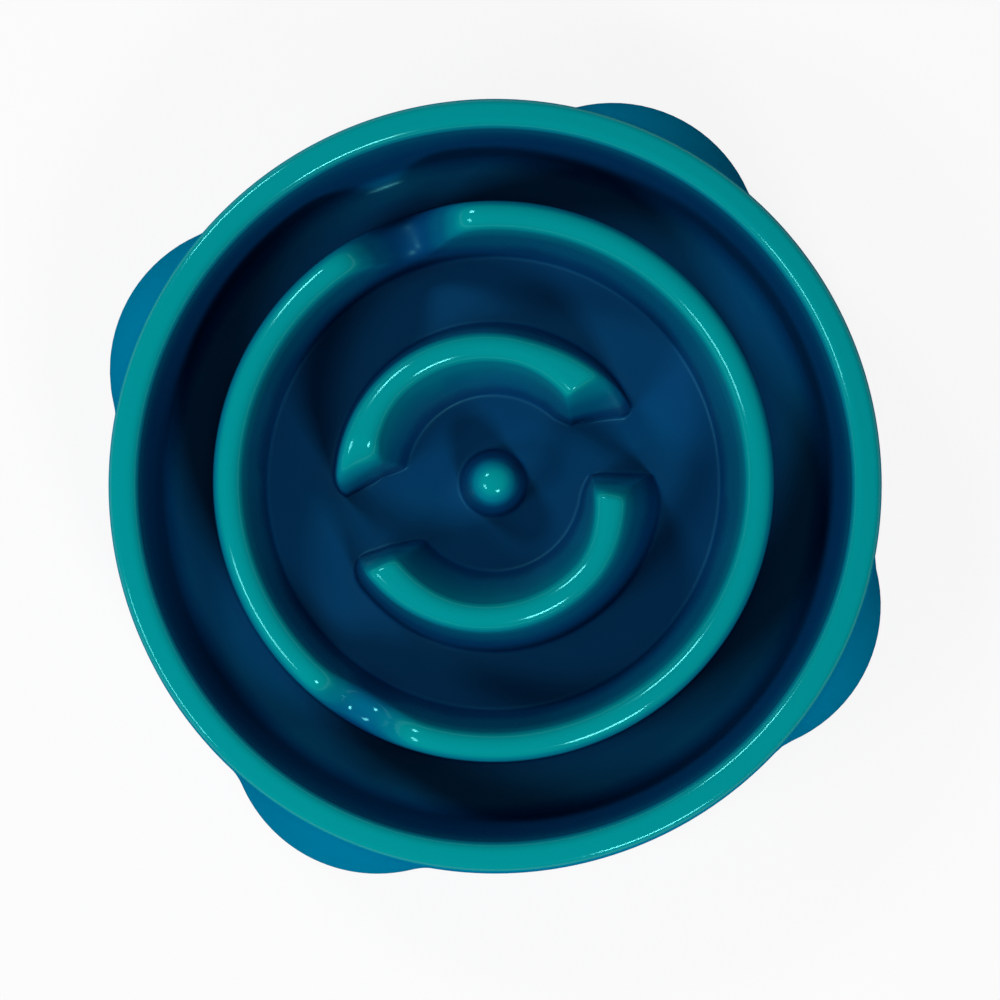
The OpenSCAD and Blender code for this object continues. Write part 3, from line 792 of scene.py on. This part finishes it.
def shell_shapes():
    """The moulded skin with its hidden side, and the pockets under the lobes, with each point's share of
    open sky, which sets the painted shade of its colour, and its finish: 0 for the glossy inside, and 1 for
    the satin skirt and hidden side."""
    theta = directions()
    shown, hidden = skin(theta, 0.0, SHOWN), skin(theta, WALL_T, HIDDEN)
    a, b = shown[:, -1:], hidden[:, -1:]
    t = np.linspace(0.0, math.pi, EDGE_STATIONS + 1)[1:-1][None, :, None]
    edge = (a + b) / 2 + (a - b) / 2 * np.cos(t)
    edge[..., 2] -= WALL_T / 2 * np.sin(t[..., 0])
    grid = np.concatenate([shown, edge, hidden[:, ::-1]], axis=1)
    shapes = [closed_grid(grid)]
    sky, finish = np.full(grid.shape[:2], HIDDEN_SKY), np.ones(grid.shape[:2])
    seen, inside = shown.shape[1], shown.shape[1] - SHOWN["skirt"] - SHOWN["round"] // 2
    # Painted shade for the colour: the share of open sky, spread, and darkened further inside by shade
    sky[:, :seen] = spread(openness(shown, theta), shown, SKY_SPREAD)
    sky[:, :inside] *= shade(shown[:, :inside], theta)
    finish[:, :inside] = 0

    lean = math.tan(LOBE_FLARE * DEG)
    pocket_in = LOBE_R - WALL_T / math.cos(LOBE_FLARE * DEG) - FOOT_W - 2 * FOOT_GAP
    roof = EDGE_Z + POCKET_DEPTH
    top = roof + WALL_T
    far = LOBE_R - WALL_T / 2
    edge_r, inner_r, seam_r, outer_r = 0.5, 0.4, 0.2, 0.6
    channel = rounded([(pocket_in - WALL_T, EDGE_Z), (pocket_in, EDGE_Z), (pocket_in, roof),
                       (far - (roof - EDGE_Z) * lean, roof), (far - (top - EDGE_Z) * lean, top),
                       (pocket_in - WALL_T, top)],
                      (edge_r, edge_r, inner_r, seam_r, seam_r, outer_r), 3)
    plate = rounded([(pocket_in - WALL_T, EDGE_Z), (far, EDGE_Z), (far - (top - EDGE_Z) * lean, top),
                     (pocket_in - WALL_T, top)], (edge_r, seam_r, seam_r, outer_r), 3)
    half, wall, cuts = FOOT_HALF_ANGLE + FOOT_GAP / LOBE_R / DEG, WALL_T / LOBE_R / DEG, 40
    angles = np.linspace(-half - wall / 2, half + wall / 2, cuts)
    for lobe in LOBE_ANGLES:
        shapes.append(sweep(np.repeat(channel[None], len(angles), axis=0), angles, lobe))
        for first, last in ((-half - wall, -half), (half, half + wall)):
            shapes.append(sweep(np.repeat(plate[None], 2, axis=0), np.array([first, last]), lobe))
    rest = sum(p.size // 3 for p, _ in shapes[1:])
    values = []
    for value, filler in ((sky, HIDDEN_SKY), (finish, 1.0)):
        poles = [value[:, 0].mean(), value[:, -1].mean()]
        values.append(np.concatenate([value[:, 1:-1].ravel(), poles, np.full(rest, filler)]))
    return shapes, *values


def foot_shapes(lobe):
    """A rubber foot: a curved bar with rounded edges and ends, cross grooves in its sole, and two
    plugs whose heads sit above the pocket's roof."""
    lean = math.tan(LOBE_FLARE * DEG)
    out_r = LOBE_R - WALL_T / math.cos(LOBE_FLARE * DEG) - FOOT_GAP
    in_r, top, round_r = out_r - FOOT_W, EDGE_Z + POCKET_DEPTH, FOOT_ROUND_R
    bend_r, top_r, cuts = 0.3, 0.4, 150
    outline = rounded([(in_r, 0.0), (out_r, 0.0), (out_r, EDGE_Z),
                       (out_r - POCKET_DEPTH * lean, top), (in_r, top)],
                      (round_r, round_r, bend_r, top_r, top_r), 5)
    length = 2 * FOOT_HALF_ANGLE * DEG * (in_r + out_r) / 2
    cap = round_r * (1 - np.cos(np.linspace(0.0, 90.0, 6) * DEG))
    s = np.unique(np.concatenate([cap, np.linspace(round_r, length - round_r, cuts), length - cap]))
    to_end = np.minimum(s, length - s)
    pull = round_r * (1 - np.sqrt(1 - np.clip(1 - to_end / round_r, 0.0, 1.0) ** 2))
    centre = np.array([(in_r + out_r) / 2 - FOOT_END_SHIFT, top / 2])
    size = np.array([(out_r - in_r) / 2, top / 2])
    sections = centre + (outline[None] - centre) * (1 - pull[:, None, None] / size)
    place = (s - length / 2) / GROOVE_PITCH
    phase = np.abs(place - np.round(place)) * GROOVE_PITCH
    groove = GROOVE_DEPTH * (1 - ease((phase - GROOVE_W / 2) / (GROOVE_W / 2)))
    groove *= ease((to_end - 2 * round_r) / GROOVE_W)
    sections[..., 1] += groove[:, None] * np.clip(1 - sections[..., 1] / round_r, 0.0, 1.0)
    shapes = [sweep(sections, (s / length * 2 - 1) * FOOT_HALF_ANGLE, lobe)]

    roof, root = top + WALL_T, top - PLUG_ROOT
    profile = np.array([(r, roof + z) for r, z in PLUG_HEAD]
                       + [(PLUG_R, roof), (PLUG_R, root), (0.0, root)])
    at = (in_r + out_r) / 2 - POCKET_DEPTH * lean / 2
    for side in PLUG_AT_SHARES:
        x, y, _ = polar(np.array(at), np.array(side * FOOT_HALF_ANGLE), 0.0, (LOBE_D, 0.0))
        c, sn = math.cos(lobe * DEG), math.sin(lobe * DEG)
        shapes.append(lathe(profile, c * x - sn * y, sn * x + c * y))
    return shapes


def aimed(eye, target, up):
    """Place of a camera or lamp at eye that looks at target, with its own y axis towards up."""
    back = (Vector(eye) - Vector(target)).normalized()
    right = Vector(up).cross(back).normalized()
    made = Matrix((right, back.cross(right), back)).transposed().to_4x4()
    made.translation = Vector(eye)
    return made


def add_stage():
    """A pale floor that turns up into a low wall all round, far from the bowl. Seen directly or in a
    reflection it is mostly plain white, and the rest of it keeps the bowl's soft shadow."""
    flat_r, turn_r, wall_top, white_share, rows = 3.4, 0.5, 1.15, 0.88, 96
    t = np.linspace(-90.0, 0.0, 13) * DEG
    r = np.concatenate([[0.0], np.geomspace(0.2, flat_r, 10),
                        flat_r + turn_r * np.cos(t), [flat_r + turn_r]])
    z = np.concatenate([np.zeros(11), turn_r + turn_r * np.sin(t), [wall_top]])
    i = np.arange(rows)
    a = i * 2 * math.pi / rows
    p = polar(r[None] + 0 * a[:, None], a[:, None] / DEG, z[None])
    cols = len(r) - 1
    fans = np.stack([np.full(rows, rows * cols), i * cols, (i + 1) % rows * cols], axis=-1)
    mesh = bpy.data.meshes.new("studio_floor")
    points = np.concatenate([p[:, 1:].reshape(-1, 3), [[0.0, 0.0, 0.0]]])
    mesh.from_pydata(points.tolist(), [], grid_faces(rows, cols).tolist() + fans.tolist())
    mesh.shade_smooth()
    material, tree, shader, add = new_material("studio_white")
    path = add("ShaderNodeLightPath").outputs
    seen = add("ShaderNodeMath", {"operation": "MAXIMUM"},
               {0: path["Is Camera Ray"], 1: path["Is Glossy Ray"]})
    seen = add("ShaderNodeMath", {"operation": "MAXIMUM"},
               {0: seen.outputs[0], 1: path["Is Transmission Ray"]})
    part = add("ShaderNodeMath", {"operation": "MULTIPLY", 1: white_share}, {0: seen.outputs[0]})
    floor = add("ShaderNodeBsdfDiffuse", {"Color": (0.7, 0.7, 0.7, 1.0)}).outputs["BSDF"]
    glow = add("ShaderNodeEmission", {"Strength": 1.0}).outputs["Emission"]
    mix = add("ShaderNodeMixShader", links={0: part.outputs[0], 1: floor, 2: glow})
    tree.nodes.remove(shader)
    tree.links.new(mix.outputs["Shader"], tree.nodes["Material Output"].inputs["Surface"])
    mesh.materials.append(material)
    stage = bpy.data.objects.new("studio_floor", mesh)
    bpy.context.scene.collection.objects.link(stage)


def add_lamps():
    """Three softboxes, half way down from straight overhead. Each gives the floor a share of plain
    light, where shares that add up to 1 render a colour as it is written: power is
    pi squared times the share times distance squared over the cosine of the tilt."""
    distance, tilt, depth, target = 1.2, 44 * DEG, 0.22, (0.0, 0.0, 0.05)
    for k, (azimuth, width, share) in enumerate(SOFTBOXES):
        lamp = bpy.data.lights.new("softbox_%d" % (k + 1), "AREA")
        lamp.shape = "RECTANGLE"
        lamp.size, lamp.size_y = width, depth
        lamp.energy = math.pi ** 2 * share * distance ** 2 / math.cos(tilt)
        a = azimuth * DEG
        eye = (distance * math.sin(tilt) * math.cos(a), distance * math.sin(tilt) * math.sin(a),
               target[2] + distance * math.cos(tilt))
        holder = bpy.data.objects.new(lamp.name, lamp)
        holder.matrix_world = aimed(eye, target, (0.0, 0.0, 1.0))
        bpy.context.scene.collection.objects.link(holder)
    world = bpy.data.worlds.new("studio_air")
    world.use_nodes = True
    world.node_tree.nodes["Background"].inputs["Color"].default_value = (0.65, 0.82, 1.0, 1.0)
    world.node_tree.nodes["Background"].inputs["Strength"].default_value = 0.15
    bpy.context.scene.world = world


def add_camera():
    """Looks nearly straight down from 1.13 m above the floor, a little to the front of the bowl."""
    picture_angle, eye, target = 19.06, (0.0, -0.0176, 1.13), (0.0017, -0.00545, 0.07)
    data = bpy.data.cameras.new("overhead_camera")
    data.sensor_width = 36.0
    data.lens = data.sensor_width / 2 / math.tan(picture_angle / 2 * DEG)
    data.clip_start, data.clip_end = 0.01, 50.0
    camera = bpy.data.objects.new("overhead_camera", data)
    camera.matrix_world = aimed(eye, target, (0.0, 1.0, 0.0))
    bpy.context.scene.collection.objects.link(camera)
    bpy.context.scene.camera = camera


glossy = moulded_plastic("moulded_plastic", INSIDE_PAINTED_SHADE, (0.07, 0.13), 0.35, 0.0)
satin = moulded_plastic("satin_plastic", SKIRT_PAINTED_SHADE, (0.66, 0.76), 0.0, 0.35)
rubber = foot_rubber()
shapes, open_sky, finish = shell_shapes()
shell = make_piece("moulded_shell", shapes, (glossy, satin), open_sky, finish)
dress(shell, "bowl_shell")
for node, lobe in zip(FOOT_NODES, LOBE_ANGLES):
    dress(make_piece("rubber_" + node, foot_shapes(lobe), (rubber,)), node)

add_stage()
add_lamps()
add_camera()
bpy.context.scene.view_settings.view_transform = "Standard"

bpy.context.view_layer.update()
